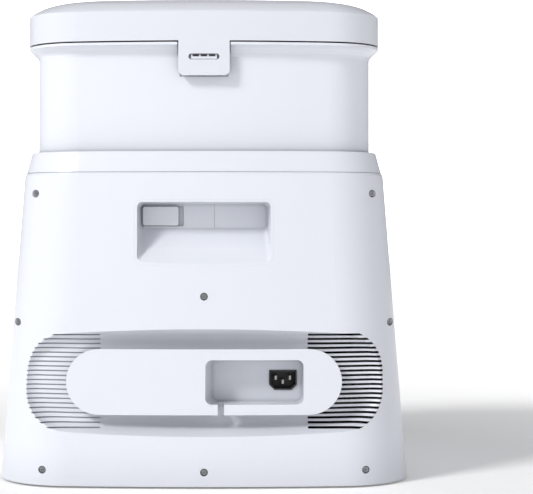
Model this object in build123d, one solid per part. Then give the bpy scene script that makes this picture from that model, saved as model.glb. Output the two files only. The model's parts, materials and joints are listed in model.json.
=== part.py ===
from build123d import *
import math
import os
from typing import NamedTuple

# Base station of a robot vacuum and mop: a flared lower body with the robot's bay in front, and
# above it a box that holds two lift-out water tanks under a hinged lid.
# Millimetres. +Z is up. The robot drives in from -Y, and the +Y side stands against the wall.
# The origin is on the floor, under the middle of the station.


class Outline(NamedTuple):
    """A plan outline: straight sides and front, a bowed rear, and four rounded corners."""

    width: float
    front: float
    rear: float
    front_radius: float
    rear_radius: float
    crown: float

    def inset(self, by):
        return Outline(
            self.width - 2 * by,
            self.front + by,
            self.rear - by,
            max(self.front_radius - by, 1.0),
            max(self.rear_radius - by, 1.0),
            self.crown - by,
        )

    def at(self, z):
        """The outline as a face at height z."""
        half = self.width / 2
        sag = self.crown - math.sqrt(self.crown**2 - half**2)
        corner = self.rear - sag
        edges = [
            Line((-half, self.front), (half, self.front)),
            Line((half, self.front), (half, corner)),
            ThreePointArc((half, corner), (0, self.rear), (-half, corner)),
            Line((-half, corner), (-half, self.front)),
        ]
        face = make_face(edges)
        face = fillet(face.vertices().group_by(Axis.Y)[0], self.front_radius)
        face = fillet(face.vertices().group_by(Axis.Y)[-1], self.rear_radius)
        return Pos(0, 0, z) * face

    def rear_at(self, x):
        """The rear edge's y at the distance x from the middle."""
        x = abs(x)
        middle = self.width / 2 - self.rear_radius
        reach = self.crown - self.rear_radius
        if x <= middle * self.crown / reach:
            return self.rear - self.crown + math.sqrt(self.crown**2 - x**2)
        centre = self.rear - self.crown + math.sqrt(reach**2 - middle**2)
        return centre + math.sqrt(self.rear_radius**2 - (x - middle) ** 2)


def between(low, high, share):
    return Outline(*(a + (b - a) * share for a, b in zip(low, high)))


def block(low, low_z, high, high_z):
    """A solid that runs straight from one outline up to another."""
    return loft([low.at(low_z), high.at(high_z)], ruled=True)


def prism(outline, low_z, high_z):
    return extrude(outline.at(low_z), amount=high_z - low_z)


def wall_plane(y):
    """The upright plane at y, drawn in X and Z. Extruding from it goes towards the front."""
    return Plane.XZ.offset(-y)


def bar(low, high):
    """A box between two corners."""
    size = [b - a for a, b in zip(low, high)]
    middle = [(a + b) / 2 for a, b in zip(low, high)]
    return Pos(*middle) * Box(*size)


def beam(x, z, half_x, half_z, y0, y1):
    """A box round an axis along Y."""
    return bar((x - half_x, y0, z - half_z), (x + half_x, y1, z + half_z))


def rod(start, end, radius):
    """A cylinder between two points."""
    axis = Vector(*end) - Vector(*start)
    plane = Plane(origin=start, z_dir=axis)
    return plane * Cylinder(radius, axis.length, align=(Align.CENTER, Align.CENTER, Align.MIN))


def tube(start, end, radius, bore):
    return rod(start, end, radius) - rod(start, end, bore)


def both_sides(solid):
    """A solid with its mirror image across the middle."""
    return [solid, mirror(solid, Plane.YZ)]


# Lower body ----------------------------------------------------------------------------------------
wall = 2.6  # moulded wall of the casings
seam = 0.4  # open line between two casings
foot_height = 3.0
skirt_z = 2.0  # the casing's lower edge
body_top_z = 308.0
body_low = Outline(412.0, -185.0, 205.0, 45.0, 76.0, 1500.0)
body_high = Outline(364.0, -150.0, 196.0, 45.0, 68.0, 900.0)
body_top_bevel = (2.4, 1.2)  # down the face, and in from it
split_y = 112.0  # the rear panel starts here, on both sides
split_overlap = 10.0  # the tongue of the front casing behind the rear panel


def body_outline(z, inset=0.0):
    share = (z - skirt_z) / (body_top_z - skirt_z)
    return between(body_low, body_high, share).inset(inset)


def body_rear(x, z):
    return body_outline(z).rear_at(x)


def body_block(inset=0.0, grow_up=0.0):
    """The lower body as a solid, stretched past its ends by grow_up where it serves as a cutter."""
    low_z = skirt_z - grow_up
    high_z = body_top_z + grow_up
    return block(body_outline(low_z, inset), low_z, body_outline(high_z, inset), high_z)


def body_shell():
    bevel_down, bevel_in = body_top_bevel
    bevel_z = body_top_z - bevel_down
    shoulder = body_outline(bevel_z)
    outer = block(body_low, skirt_z, shoulder, bevel_z)
    outer += block(shoulder, bevel_z, body_high.inset(bevel_in), body_top_z)
    return outer - body_block(wall, 5.0)


# Robot bay -----------------------------------------------------------------------------------------
bay_half = 182.0  # half the bay's width, and the radius of its round back
bay_centre_y = -57.0
bay_height = 126.0
bay_wall = 2.5
arch_half = 178.0
arch_radius = 46.0
ramp_front = -205.0
ramp_lip = 1.6
base_z = 3.0
base_thickness = 3.0
base_top = base_z + base_thickness
foot_radius = 9.0
foot_places = [(150.0, -140.0), (-150.0, -140.0), (120.0, 150.0), (-120.0, 150.0)]

# Trough for the wound cable, with the vents in its ends --------------------------------------------
trough_z = 103.5
trough_half_width = 181.0
trough_half_height = 52.2
trough_depth = 18.0  # at the middle
trough_lean = 10.4  # the floor's edge lies this far inside the trough's outline
trough_corner = 46.0
trough_bend_x = 118.0  # outside this the floor bends forward to meet the rounded corner
trough_bend_radius = 40.0
trough_round = 15.0  # between the floor and the sides
trough_face = body_rear(0, trough_z)

slot_count = 21
slot_pitch = 4.544
slot_height = 2.3
blind_slot_height = 1.3
slot_inner_x = 101.8
slot_outer_x = 176.8
slot_field_half_height = 50.0
slot_field_corner = 41.0
blind_slot_depth = 1.5  # the slots on the +X side are only grooves

# Spool plate that the cable is wound behind --------------------------------------------------------
spool_width = 269.4
spool_height = 63.8
spool_z = 103.3
spool_plate_thickness = 3.0
spool_core_inset = 7.0
spool_core_wall = 2.4
fit_gap = 0.3  # clearance round a piece that drops into an opening

# Pocket for the power inlet, in the spool plate ----------------------------------------------------
pocket_x = (-97.2, 0.8)
pocket_z = (81.2, 124.9)
pocket_depth = 28.0
pocket_wall = 2.4
pocket_corner = 6.5
pocket_lean_x = 9.0  # the end wall furthest from the inlet leans by this much
cable_notch_x = (-19.5, -13.3)
inlet_x = -78.0
inlet_z = 103.1
inlet_width = 27.0
inlet_height = 19.4
inlet_proud = 1.0
inlet_cavity = (24.4, 16.6)
inlet_cavity_depth = 17.0
inlet_body_depth = 24.0
inlet_chamfer = 5.2
inlet_clearance = 0.15
pin_spacing = 14.0
pin_drop = 4.0
pin_size = (2.0, 4.0)
pin_length = 15.0
pin_tail = 6.0

# Grip pocket in the rear panel ---------------------------------------------------------------------
grip_width = 131.4
grip_low_z = 219.3
grip_high_z = 279.0
grip_corner = 5.0
grip_depth = 28.0
grip_wall = 2.2
grip_gap = 0.06  # the grip pocket is welded into the panel
grip_back_width = 125.2
grip_back_z = (253.2, 276.8)
grip_face = body_rear(0, (grip_low_z + grip_high_z) / 2)
track_x = (20.0, 61.6)
track_z = (255.0, 275.3)
track_depth = 2.6
track_corner = 2.0
slider_size = (35.7, 19.1)
slider_corner = 2.2
slider_proud = 2.6
slider_left_x = 60.9
slider_gap = 0.3
panel_line_x = -10.4
panel_line_size = (0.5, 0.5)

# Screws that hold the rear panel: (x, z) of each ---------------------------------------------------
screw_places = [
    (167.4, 287.4),
    (-167.4, 287.4),
    (186.3, 159.3),
    (-186.3, 159.3),
    (0.0, 186.5),
    (158.3, 17.0),
    (-158.3, 17.0),
    (0.0, 16.0),
]
screw_sink = 4.8
screw_runout = 4.0  # on the corners the pocket's floor comes out this far from the screw
screw_pocket_radius = 3.8
screw_seat = 2.2
screw_boss_radius = 5.4
screw_head_radius = 2.6
screw_head_height = 2.0
screw_shank_radius = 1.5
screw_length = 13.0
screw_hole_radius = 1.5
screw_drive = (1.1, 1.1)

# Inner frame: a deck over the bay, columns that carry the tank housing, and screw posts ------------
deck_half = 188.0
deck_rear = 140.0
deck_thickness = 3.0
deck_z = bay_height + bay_wall
deck_top = deck_z + deck_thickness
column_x = (150.0, 172.0)
column_y = (116.0, 138.0)
front_column_y = (-118.0, -100.0)
crossbar_y = (126.0, 138.0)
crossbar_height = 14.0
post_radius = 5.4

# Upper box for the tanks ---------------------------------------------------------------------------
lid_outline = Outline(356.0, -150.0, 187.5, 46.0, 62.0, 727.0)
housing_inset = 9.4
housing_wall = 2.5
housing_floor_z = body_top_z - 12.0
housing_floor = 3.0
housing_height = 140.0
rim_top = housing_floor_z + housing_height
rim_height = 2.6
rim_blend = 11.0  # how far the curve under the rim runs down the wall
rim_blend_steps = 5
rim_width = 16.0
rim_tab_gap = 1.0
divider = 3.0

ring_low_z = body_top_z + 0.5
ring_high_z = ring_low_z + 20.5
ring_low_inset = 1.6
ring_high = Outline(350.0, -143.5, 189.5, 42.0, 62.0, 760.0)
ring_edge = 1.8
ring_skirt = 6.0
ring_gap = 1.4  # the groove between the ring and the tank housing

# Lid -----------------------------------------------------------------------------------------------
lid_seam = 1.5
lid_low_z = rim_top + lid_seam
lid_band = 29.3
lid_crease_z = lid_low_z + lid_band
lid_wall = 2.5
lid_roof = [  # inset of each step, and its height over the crease
    (3.6, 3.2),
    (8.0, 6.1),
    (12.2, 8.5),
    (17.0, 10.5),
    (23.0, 12.4),
    (30.0, 14.0),
    (38.0, 15.4),
    (48.0, 16.6),
]
lid_top = Outline(150.0, -96.0, 96.0, 34.0, 34.0, 700.0)
lid_top_z = lid_crease_z + 20.6
tab_half = 25.2
tab_drop = 34.2
tab_low_z = lid_low_z - tab_drop
tab_corner = 5.5
tab_window = (30.4, 5.8)
tab_window_z = tab_low_z + 18.3
hinge_z = tab_low_z + 3.4
hinge_back = 3.1  # from the lid's inner face to the pin's axis
hinge_y = lid_outline.rear - lid_wall - hinge_back
knuckle_radius = 2.8
hinge_pin_radius = 1.5
hinge_pin_gap = 0.05
knuckle_x = (15.0, 22.0)  # each lid knuckle; the bracket's knuckle lies between them
knuckle_gap = 0.4
hinge_recess = (24.0, 2.0)  # half-width and depth of the hollow behind the tab
hinge_hollow_drop = 4.0  # below the hinge's axis
window_bar_half = 12.8
window_bar_height = 2.6
window_bar_gap = 0.4  # between the bar and the window's lower edge
window_bar_reach = 1.5  # how far the bar stands into the window
window_rib = 1.6
window_rib_step = 0.4  # the ribs end this far behind the bar's face
window_rib_drop = 0.7
window_cells = 3
frame_gap = 0.3  # between the frame and the lid's wall
frame_inset = (lid_wall + frame_gap, 15.5)
frame_z = (rim_top + 2.6, rim_top + 10.0)
gasket_inset = (12.6, 15.2)
gasket_z = (rim_top + 0.3, frame_z[0])

# Control panel on the lid --------------------------------------------------------------------------
panel_half = 46.5
panel_y = (-86.0, 92.0)
panel_thickness = 2.4
panel_corner = 6.0
panel_gap = 0.3
panel_top_z = lid_top_z + 1.6
button_x = (-30.0, 0.0, 30.0)
button_y = -69.0
button_radius = 8.0
button_gap = 0.35
button_travel = 0.8
button_height = 6.0
button_board_gap = 1.2
board_reach = 13.0  # half the button board, front to rear
board_post_reach = 10.0

# Tanks ---------------------------------------------------------------------------------------------
tank_gap = 1.5
tank_wall = 2.2
tank_low_z = housing_floor_z + housing_floor + 0.4
tank_high_z = rim_top - 32.0
tank_lid_height = 7.0
tank_seal_height = 1.5
handle_bar = 7.0
handle_lift = 0.6  # the folded handle lies this far above the tank's lid
handle_reach = 46.0
handle_half = 52.0
handle_pivot_y = 22.0
handle_pin_radius = 2.5
handle_pin_gap = 0.1
handle_ear = 4.0
port_radius = 9.0
port_y = -90.0
port_x = 60.0
handle_pivot_z = tank_high_z + tank_seal_height + tank_lid_height + handle_lift + handle_bar / 2
valve_stem_radius = 2.4
valve_head_radius = 8.0
valve_head_height = 3.0
valve_drop = 8.0
float_arm_length = 46.0
float_y = -60.0
float_z = tank_high_z - 6.0
float_radius = 9.0

# Moving pieces and electrics inside ----------------------------------------------------------------
fan_centre = (-150.0, 132.0, 96.0)
fan_half = 30.0
fan_depth = 28.0
fan_wall = 2.0
impeller_radius = 24.0
impeller_length = 18.0
impeller_blades = 16
shaft_radius = 2.0
shaft_gap = 0.05
duct_half = (14.0, 15.0)
duct_wall = 1.6
heater_half = (11.0, 10.0)
heater_y = (88.0, 104.0)
pump_radius = 20.0
pump_length = 58.0
pump_head_length = 18.0
pump_wall = 2.4
pump_z = deck_top + 24.0
clean_pump_x = 70.0
waste_pump_x = -70.0
pump_y = -20.0
rotor_radius = 13.0
rotor_length = 8.0
rotor_blades = 6
hose_radius = 5.0
hose_bore = 3.2
spigot_radius = hose_bore - 0.1
spigot_bore = 2.0
supply_size = (110.0, 62.0, 36.0)
supply_middle = (-85.0, 85.0)
wire_drop = 14.0
wire_radius = 1.4
board_size = (120.0, 70.0, 1.6)
board_middle = (80.0, 88.0)
board_lift = 6.0
chip_height = 3.0

# Inside the bay ------------------------------------------------------------------------------------
tray_half = 168.0
tray_front = -44.0
tray_height = 20.0
tray_wall = 2.0
tray_gap = 0.3
tray_travel = 240.0
rib_count = 9
rib_pitch = 13.0
rib_size = (188.0, 3.0, 5.0)
rib_middle_y = 19.0
filter_half = 24.0
filter_y = (82.0, 100.0)
contact_x = 22.0
contact_size = (14.0, 8.0, 9.0)
contact_z = 70.0
contact_block_half = (42.0, 11.0)
contact_block_front = 106.0
contact_travel = 2.5
contact_proud = 3.5
window_half = (16.0, 5.0)
window_z = 96.0
roller_radius = 6.0
roller_height = 14.0
roller_z = 48.0
roller_y = -130.0
roller_proud = 2.5
roller_gap = 0.5
roller_pin_radius = 1.5
roller_bracket_plate = 2.0


def d_prism(radius, low_z, high_z, front):
    """The bay's plan: straight sides and a half-round back."""
    body = Pos(0, bay_centre_y, low_z) * Cylinder(
        radius, high_z - low_z, align=(Align.CENTER, Align.CENTER, Align.MIN)
    )
    straight = min(front, bay_centre_y - 1)
    body += bar((-radius, straight, low_z), (radius, bay_centre_y, high_z))
    return body - bar((-radius - 5, front - 300, low_z - 1), (radius + 5, front, high_z + 1))


def window_face(width, height, radius, x, z, y):
    """A rounded rectangle on the upright plane at y."""
    return wall_plane(y) * Pos(x, z) * RectangleRounded(width, height, radius)


def screw_floor(x, z):
    """Where the floor of a screw's pocket lies along Y."""
    surface = body_rear(x, z)
    runout = body_rear(abs(x) + screw_runout, z)
    return min(surface - screw_sink, runout)


# Rear panel ----------------------------------------------------------------------------------------
def trough_cutter(grow=0.0):
    """The space of the cable trough, or that space grown all round by a wall."""
    reach = 6.0
    top = trough_face + reach
    deep = trough_face - 60.0
    lean = trough_lean / trough_depth
    half_height_top = trough_half_height + lean * reach + grow
    half_height_low = trough_half_height - lean * (trough_face - deep) + grow
    half_width = trough_half_width + grow
    corner_top = trough_corner + lean * reach + grow
    corner_low = max(half_height_low - 0.5, 1.0)
    wide = window_face(2 * half_width, 2 * half_height_top, corner_top, 0, trough_z, top)
    low = window_face(2 * half_width, 2 * half_height_low, corner_low, 0, trough_z, deep)
    funnel = loft([wide, low], ruled=True)
    end_y = body_rear(trough_half_width, trough_z) - grow
    floor_y = trough_face - trough_depth - grow
    edge = half_width + 10.0
    end_slope = (floor_y - end_y) / (trough_half_width - trough_bend_x)
    edge_y = end_y - end_slope * (edge - trough_half_width)
    outline = [
        (-edge, edge_y),
        (-trough_bend_x, floor_y),
        (trough_bend_x, floor_y),
        (edge, edge_y),
        (edge, top + 1),
        (-edge, top + 1),
    ]
    floor = Pos(0, 0, trough_z - 100) * extrude(make_face(Polyline(*outline, close=True)), amount=200)
    bends = floor.edges().filter_by(Axis.Z).filter_by(lambda e: abs(e.center().X) < trough_bend_x + 1)
    cutter = funnel & fillet(bends, trough_bend_radius)
    edges = cutter.edges().filter_by(lambda e: e.position_at(0.5).Y < top - reach - 1)
    return fillet(edges.filter_by(lambda e: abs(e.tangent_at(0.5).Z) < 0.999), trough_round + grow)


def slot_cutters(height):
    """One solid per slot: every slot runs from the straight inner line to the field's rounded end."""
    field = window_face(
        2 * slot_outer_x, 2 * slot_field_half_height, slot_field_corner, 0, trough_z, trough_face + 8
    )
    field = extrude(field, amount=80)
    slots = []
    for number in range(slot_count):
        z = trough_z + (number - (slot_count - 1) / 2) * slot_pitch
        low = (slot_inner_x, trough_face - 70, z - height / 2)
        high = (slot_outer_x + 1, trough_face + 8, z + height / 2)
        slots.append(bar(low, high) & field)
    return slots


def rear_panel():
    panel = body_shell() & bar((-300, split_y, -5), (300, 300, 400))
    solid_body = body_block()
    panel += trough_cutter(wall) & solid_body
    panel -= trough_cutter()
    for x, z in screw_places:
        floor_y = screw_floor(x, z)
        boss = rod((x, floor_y - screw_seat, z), (x, floor_y + 12, z), screw_boss_radius)
        panel += boss & solid_body
    for x, z in screw_places:
        floor_y = screw_floor(x, z)
        panel -= rod((x, floor_y, z), (x, floor_y + 40, z), screw_pocket_radius)
        panel -= rod((x, floor_y - 20, z), (x, floor_y + 1, z), screw_shank_radius + 0.2)
    for slot in slot_cutters(slot_height):
        panel -= mirror(slot, Plane.YZ)
    skin = trough_cutter(blind_slot_depth)
    for slot in slot_cutters(blind_slot_height):
        panel -= slot & skin
    panel -= grip_outer(grip_gap)
    tub = pocket_block(pocket_wall + fit_gap)
    panel -= tub
    return panel


def grip_outer(gap=0.0):
    """The grip pocket's outside, grown by a gap where it serves as a cutter."""
    grow = grip_wall + gap
    front_y = grip_face + 8
    return grip_cavity(grow, front_y, grip_depth + grow)


def grip_cavity(grow, front_y, depth):
    """Straight-sided funnel from the opening in the panel to the back wall."""
    back_y = grip_face - depth
    middle_z = (grip_low_z + grip_high_z) / 2
    back_middle = sum(grip_back_z) / 2
    height = grip_high_z - grip_low_z
    back_height = grip_back_z[1] - grip_back_z[0]
    share = (front_y - grip_face) / grip_depth
    front = window_face(
        grip_width + (grip_width - grip_back_width) * share + 2 * grow,
        height + (height - back_height) * share + 2 * grow,
        grip_corner + grow,
        0,
        middle_z + (middle_z - back_middle) * share,
        front_y,
    )
    back = window_face(
        grip_back_width + 2 * grow,
        back_height + 2 * grow,
        grip_corner + grow,
        0,
        back_middle,
        back_y,
    )
    return loft([front, back], ruled=True)


def grip_pocket():
    pocket = grip_outer() & body_block()
    pocket -= grip_cavity(0.0, grip_face + 8, grip_depth)
    pad = bar(
        (track_x[0] - 2, grip_face - grip_depth - grip_wall - track_depth, track_z[0] - 1),
        (track_x[1] + 0.5, grip_face - grip_depth - 0.5, track_z[1] + 0.5),
    )
    pocket += pad
    track = bar(
        (track_x[0], grip_face - grip_depth - track_depth, track_z[0]),
        (track_x[1], grip_face - grip_depth + 1, track_z[1]),
    )
    pocket -= fillet(track.edges().filter_by(Axis.Y), track_corner)
    line_width, line_depth = panel_line_size
    pocket -= bar(
        (panel_line_x - line_width / 2, grip_face - grip_depth - line_depth, grip_back_z[0]),
        (panel_line_x + line_width / 2, grip_face - grip_depth + 1, grip_back_z[1]),
    )
    return pocket


def service_slider():
    floor_y = grip_face - grip_depth - track_depth + slider_gap
    top_y = grip_face - grip_depth + slider_proud
    middle_z = sum(track_z) / 2
    width, height = slider_size
    face = window_face(width, height, slider_corner, slider_left_x - width / 2, middle_z, top_y)
    slider = extrude(face, amount=top_y - floor_y)
    front_edges = slider.edges().group_by(Axis.Y)[-1]
    return fillet(front_edges, 0.7)


# Spool plate and power inlet -----------------------------------------------------------------------
def pocket_block(grow, depth=None):
    """The inlet pocket's space, grown by a wall where asked. Its end wall furthest from the inlet leans."""
    depth = pocket_depth + grow if depth is None else depth
    front_y = trough_face + 8
    back_y = trough_face - depth
    width = pocket_x[1] - pocket_x[0]
    height = pocket_z[1] - pocket_z[0]
    middle_x = sum(pocket_x) / 2
    middle_z = sum(pocket_z) / 2
    back_width = width - pocket_lean_x
    front = window_face(
        width + 2 * grow, height + 2 * grow, pocket_corner + grow, middle_x, middle_z, front_y
    )
    back = window_face(
        back_width + 2 * grow,
        height - 2 + 2 * grow,
        pocket_corner + grow,
        middle_x - pocket_lean_x / 2,
        middle_z,
        back_y,
    )
    return loft([front, back], ruled=True)


def spool_plate():
    face = window_face(spool_width, spool_height, spool_height / 2 - 0.05, 0, spool_z, trough_face + 8)
    disc = extrude(face, amount=40) & body_block() - body_block(spool_plate_thickness)
    core_width = spool_width - 2 * spool_core_inset
    core_height = spool_height - 2 * spool_core_inset
    core_floor = trough_face - trough_depth
    core = window_face(core_width, core_height, core_height / 2 - 0.05, 0, spool_z, trough_face)
    core = extrude(core, amount=trough_depth)
    hollow = window_face(
        core_width - 2 * spool_core_wall,
        core_height - 2 * spool_core_wall,
        core_height / 2 - spool_core_wall - 0.05,
        0,
        spool_z,
        trough_face,
    )
    hollow = extrude(hollow, amount=trough_depth)
    inside = body_block(spool_plate_thickness - 0.5)
    plate = disc + ((core - hollow) & inside)
    plate += pocket_block(pocket_wall) & inside
    plate -= pocket_block(0.0)
    plate -= bar(
        (cable_notch_x[0], core_floor, spool_z - spool_height / 2 - 5),
        (cable_notch_x[1], trough_face + 8, pocket_z[0] + 5),
    )
    opening = inlet_outline(inlet_clearance)
    return plate - extrude(wall_plane(trough_face) * opening, amount=pocket_depth + 10)


def inlet_outline(grow=0.0, width=inlet_width, height=inlet_height, corner=inlet_chamfer):
    """The inlet's outline in X and Z: a rectangle with its two lower corners cut off."""
    half_width = width / 2 + grow
    half_height = height / 2 + grow
    points = [
        (inlet_x - half_width, inlet_z + half_height),
        (inlet_x + half_width, inlet_z + half_height),
        (inlet_x + half_width, inlet_z - half_height + corner),
        (inlet_x + half_width - corner, inlet_z - half_height),
        (inlet_x - half_width + corner, inlet_z - half_height),
        (inlet_x - half_width, inlet_z - half_height + corner),
    ]
    return make_face(Polyline(*points, close=True))


def inlet_front():
    return trough_face - pocket_depth + inlet_proud


def power_inlet():
    front = inlet_front()
    body = extrude(wall_plane(front) * inlet_outline(), amount=inlet_body_depth)
    width, height = inlet_cavity
    cavity = inlet_outline(0.0, width, height, inlet_chamfer - 0.6)
    body -= extrude(wall_plane(front) * cavity, amount=inlet_cavity_depth)
    for x, z in inlet_pin_places():
        body -= extrude(wall_plane(front) * Pos(x, z) * Rectangle(*pin_size), amount=inlet_body_depth + 1)
    return body


def inlet_pin_places():
    return [
        (inlet_x - pin_spacing / 2, inlet_z + pin_drop / 2),
        (inlet_x + pin_spacing / 2, inlet_z + pin_drop / 2),
        (inlet_x, inlet_z - pin_drop / 2),
    ]


def inlet_pins():
    tip = inlet_front() - inlet_cavity_depth + pin_length
    length = tip - (inlet_front() - inlet_body_depth) + pin_tail
    pins = []
    for x, z in inlet_pin_places():
        pin = extrude(wall_plane(tip) * Pos(x, z) * Rectangle(*pin_size), amount=length)
        pins.append(pin)
    return pins


def panel_screws():
    screws = []
    for x, z in screw_places:
        floor_y = screw_floor(x, z)
        top = floor_y + screw_head_height
        screw = rod((x, floor_y, z), (x, top, z), screw_head_radius)
        screw += rod((x, floor_y - screw_length, z), (x, floor_y, z), screw_shank_radius)
        width, depth = screw_drive
        for across, along in ((width / 2, width * 1.4), (width * 1.4, width / 2)):
            screw -= bar((x - across, top - depth, z - along), (x + across, top + 1, z + along))
        screws.append(screw)
    return screws


# Front casing, base and inner frame ----------------------------------------------------------------
def front_casing():
    casing = body_shell() & bar((-300, -400, -5), (300, split_y - seam, 400))
    slip = wall + 0.25
    behind = body_block(slip) - body_block(wall + 2.4)
    tongue_top = body_top_z - ring_skirt - 1
    casing += behind & bar((-300, split_y - split_overlap, -5), (300, split_y + split_overlap, tongue_top))
    root = body_block(wall - 0.2) - body_block(wall + 1.0)
    casing += root & bar((-300, split_y - split_overlap, -5), (300, split_y - seam, tongue_top))
    arch = RectangleRounded(2 * arch_half, 2 * bay_height, arch_radius)
    return casing - extrude(wall_plane(bay_centre_y) * arch, amount=300)


def base_plate():
    outline = body_outline(base_top, wall + seam + 0.6)
    plate = prism(outline, base_z, base_top)
    tongue = bar((-300, split_y - split_overlap - 2, 0), (300, split_y + split_overlap + 2, 10))
    narrow = prism(body_outline(base_top, wall + 3.4), base_z - 1, base_top + 1)
    plate -= tongue - narrow
    for x, z in screw_places:
        if z < 20:
            floor_y = screw_floor(x, z) - screw_seat
            post = bar((x - 8, floor_y - 20, base_top - 0.5), (x + 8, floor_y, z + 7))
            plate += post & body_block(wall + seam)
            plate -= rod((x, floor_y - 18, z), (x, floor_y + 1, z), screw_hole_radius)
    return plate


def entry_ramp():
    """A wedge from the floor up to the base plate, with low cross ribs for grip."""
    start = body_outline(base_top, wall + seam + 0.6).front
    outline = [
        (ramp_front, 0.4),
        (ramp_front, ramp_lip),
        (start, base_top),
        (start, 0.4),
    ]
    side = Plane.YZ * make_face(Polyline(*outline, close=True))
    ramp = extrude(side, amount=arch_half - 2, both=True)
    return ramp


def rubber_feet():
    return [rod((x, y, 0), (x, y, base_z), foot_radius) for x, y in foot_places]


def bay_liner():
    front = body_low.front - 10
    shell = d_prism(bay_half + bay_wall, base_top, deck_z, front)
    shell -= d_prism(bay_half, base_top - 1, bay_height, front - 1)
    shell &= body_block(wall + 0.3)
    half, lift = window_half
    shell -= bar((-half - 0.2, 100, window_z - lift - 0.2), (half + 0.2, 140, window_z + lift + 0.2))
    for side in (-1, 1):
        x = side * roller_x()
        reach = roller_radius + roller_gap
        tall = roller_height / 2 + roller_gap
        shell -= bar(
            (x - reach - 3, roller_y - reach, roller_z - tall),
            (x + reach + 3, roller_y + reach, roller_z + tall),
        )
        low = (x, roller_y, roller_z - 2 * tall)
        shell -= rod(low, (x, roller_y, roller_z + 2 * tall), roller_pin_radius + 0.2)
    duct_x, duct_z = duct_half
    x, _, z = fan_centre
    shell -= bar((x - duct_x, 0, z - duct_z), (x + duct_x, 110, z + duct_z))
    return shell


def roller_x():
    """How far out a guide roller's pin stands."""
    return bay_half - roller_proud + roller_radius


def deck_frame():
    deck = bar((-deck_half, -150, deck_z), (deck_half, deck_rear, deck_top))
    deck &= body_block(wall + 4.0)
    wire_space = pin_spacing / 2 + 4
    deck -= bar((inlet_x - wire_space, column_y[0] + 4, 0), (inlet_x + wire_space, deck_rear + 1, 200))
    for side in (-1, 1):
        x0, x1 = sorted((side * column_x[0], side * column_x[1]))
        deck += bar((x0, column_y[0], deck_z), (x1, column_y[1], housing_floor_z))
        deck += bar((x0, front_column_y[0], deck_z), (x1, front_column_y[1], housing_floor_z))
    for x, z in screw_places:
        back_y = screw_floor(x, z) - screw_seat
        if 20 < z < deck_z + 40 and abs(x) > column_x[1]:
            side = 1 if x > 0 else -1
            x0, x1 = sorted((side * (column_x[0] + 1), x + side * 4))
            arm = bar((x0, split_y + split_overlap + 1, z - 7), (x1, column_y[1], z + 7))
            deck += arm & body_block(wall + 0.5)
        if x == 0 and z > deck_z:
            low_z = z - crossbar_height / 2
            reach = column_x[0] + 1
            deck += bar((-reach, crossbar_y[0], low_z), (reach, crossbar_y[1], low_z + crossbar_height))
        if z > deck_z:
            post = rod((x, column_y[1] - 10, z), (x, back_y, z), post_radius)
            deck += post & body_block(wall + 0.5)
            deck -= rod((x, back_y - screw_length, z), (x, back_y + 1, z), screw_hole_radius)
    return deck


# Shoulder ring and tank housing --------------------------------------------------------------------
def housing_outline(inset=0.0):
    return lid_outline.inset(housing_inset + inset)


def shoulder_ring():
    low = body_high.inset(ring_low_inset)
    ring = block(low, ring_low_z, ring_high, ring_high_z)
    ring = fillet(ring.edges().group_by(Axis.Z)[-1], ring_edge)
    ring -= block(low.inset(wall), ring_low_z - 1, ring_high.inset(wall), ring_high_z - wall)
    skirt = prism(body_high.inset(wall + 0.4), ring_low_z - ring_skirt, ring_low_z + 2)
    skirt -= prism(body_high.inset(2 * wall + 0.4), ring_low_z - ring_skirt - 1, ring_low_z + 3)
    ring += skirt
    return ring - prism(housing_outline(-ring_gap), ring_low_z - 10, ring_high_z + 1)


def rim_solid():
    """The rim that carries the lid, with the curve under it that runs into the wall."""
    low_z = rim_top - rim_height
    rim = prism(lid_outline, low_z, rim_top)
    steps = [i * math.pi / 2 / rim_blend_steps for i in range(rim_blend_steps + 1)]
    sections = [
        lid_outline.inset(housing_inset * math.sin(angle)).at(low_z - rim_blend * (1 - math.cos(angle)))
        for angle in steps
    ]
    return rim + loft(sections[::-1], ruled=True)


def hinge_hollow(housing):
    """The housing with a backed hollow behind the lid's tab, where the hinge sits."""
    half, deep = hinge_recess
    back = lid_outline.rear - housing_inset
    top_z = rim_top - rim_height
    pad_front = back - deep - housing_wall
    low_z = hinge_z - hinge_hollow_drop
    pad = bar((-half - 2, pad_front, low_z - 3), (half + 2, back - 1, top_z + 1))
    return housing + pad - bar((-half, back - deep, low_z), (half, back + 5, top_z))


def tank_housing():
    back = lid_outline.rear - housing_inset
    tab_space = tab_half + rim_tab_gap
    rim = rim_solid() - bar((-tab_space, back - 20, 0), (tab_space, 300, rim_top + 5))
    floor_top = housing_floor_z + housing_floor
    housing = prism(housing_outline(), housing_floor_z, rim_top) + rim
    housing -= prism(housing_outline(housing_wall), floor_top, rim_top - rim_height)
    housing -= prism(lid_outline.inset(rim_width), floor_top + 7, rim_top + 1)
    front_y = housing_outline().front + 1
    housing += bar((-divider / 2, front_y, floor_top - 2), (divider / 2, back - 2, tank_high_z - 30))
    housing = hinge_hollow(housing)
    for side in (-1, 1):
        x = side * port_x
        housing -= rod((x, port_y, housing_floor_z - 5), (x, port_y, floor_top + 5), port_radius)
    return housing


# Lid -----------------------------------------------------------------------------------------------
def roof_outline(inset):
    """The lid's plan at a step of its roof: its corners tighten more slowly than its sides."""
    return Outline(
        lid_outline.width - 2 * inset,
        lid_outline.front + inset,
        lid_outline.rear - inset,
        max(lid_outline.front_radius - inset * 0.4, 10),
        max(lid_outline.rear_radius - inset * 0.4, 10),
        lid_outline.crown - inset,
    )


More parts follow.
